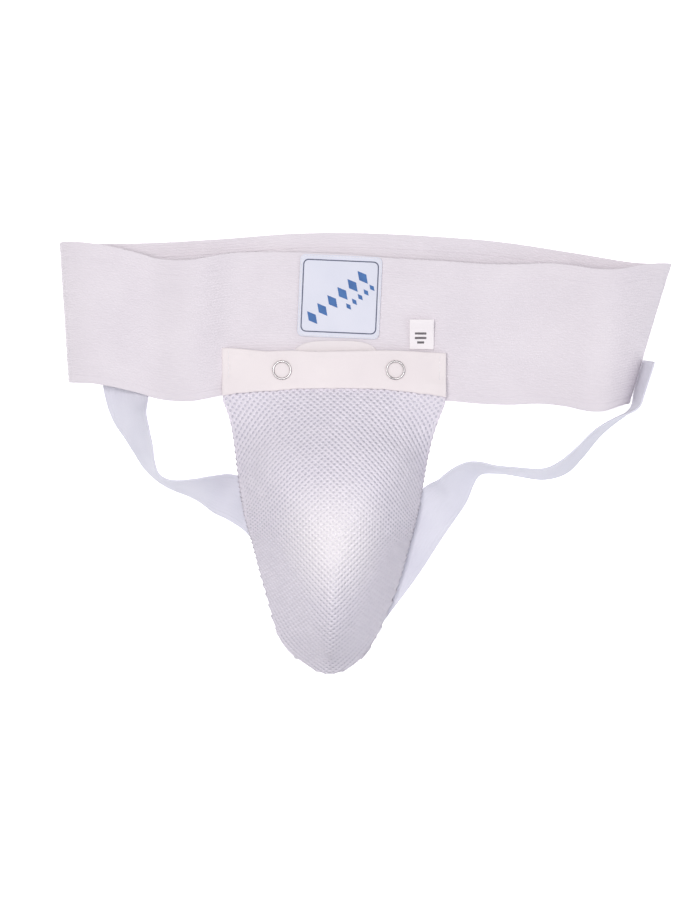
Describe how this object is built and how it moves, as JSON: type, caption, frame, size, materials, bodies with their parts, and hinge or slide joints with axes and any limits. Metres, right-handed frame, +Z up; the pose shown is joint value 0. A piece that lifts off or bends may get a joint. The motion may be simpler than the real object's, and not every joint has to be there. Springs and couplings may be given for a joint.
{
  "type": "groin protector",
  "caption": "White martial arts groin protector: wide elastic waistband, two leg straps, and a net pouch with a snapped flap that holds a hard cup.",
  "frame": {"origin": "middle of the laid-out protector, on the surface that it lies on", "axes": "+X along the waistband to the right as seen from the front, +Y towards the waist edge, +Z up from the surface, out of the front of the pouch"},
  "size_m": [0.3294, 0.2386, 0.059],
  "materials": {
    "band_elastic": "ribbed woven elastic",
    "twill_tape": "woven tape",
    "label_cloth": "woven label with a printed border",
    "strap_webbing": "flat woven elastic",
    "lining_cloth": "plain cotton",
    "net": "warp-knitted net",
    "flap_cloth": "smooth woven cloth",
    "tag_satin": "satin ribbon",
    "snap_metal": "nickel plated",
    "cup_plastic": "moulded, satin",
    "gasket_rubber": "soft, matt"
  },
  "bodies": {
    "root": {"waistband_elastic": "band_elastic", "band_join_tape": "twill_tape", "stud_placket": "twill_tape", "brand_label": "label_cloth", "strap_anchor_patch": "twill_tape", "left_snap_stud": "snap_metal", "right_snap_stud": "snap_metal", "left_snap_ring_back": "snap_metal", "right_snap_ring_back": "snap_metal", "leg_strap_left": "strap_webbing", "leg_strap_right": "strap_webbing", "pocket_lining": "lining_cloth", "pouch_binding": "twill_tape", "pouch_mesh": "net"},
    "flap": {"mouth_flap": "flap_cloth", "left_snap_socket": "snap_metal", "right_snap_socket": "snap_metal", "left_snap_ring_front": "snap_metal", "right_snap_ring_front": "snap_metal"},
    "cup": {"cup_shell": "cup_plastic", "cup_gasket": "gasket_rubber"},
    "tag": {"size_tag": "tag_satin"}
  },
  "joints": [
    {"name": "flap_open", "type": "hinge", "parent": "root", "child": "flap", "pos_m": [-0.0174, 0.0323, 0.0136], "axis": [1, 0, 0], "range_deg": [0, 105]},
    {"name": "cup_out", "type": "slide", "parent": "root", "child": "cup", "axis": [0, 0.5, 0.866], "range_m": [0, 0.16], "deforming": ["pouch_mesh"]},
    {"name": "size_tag_flip", "type": "hinge", "parent": "root", "child": "tag", "pos_m": [0.0295, 0.0564, 0.0108], "axis": [1, 0, 0], "range_deg": [0, 80]}
  ]
}
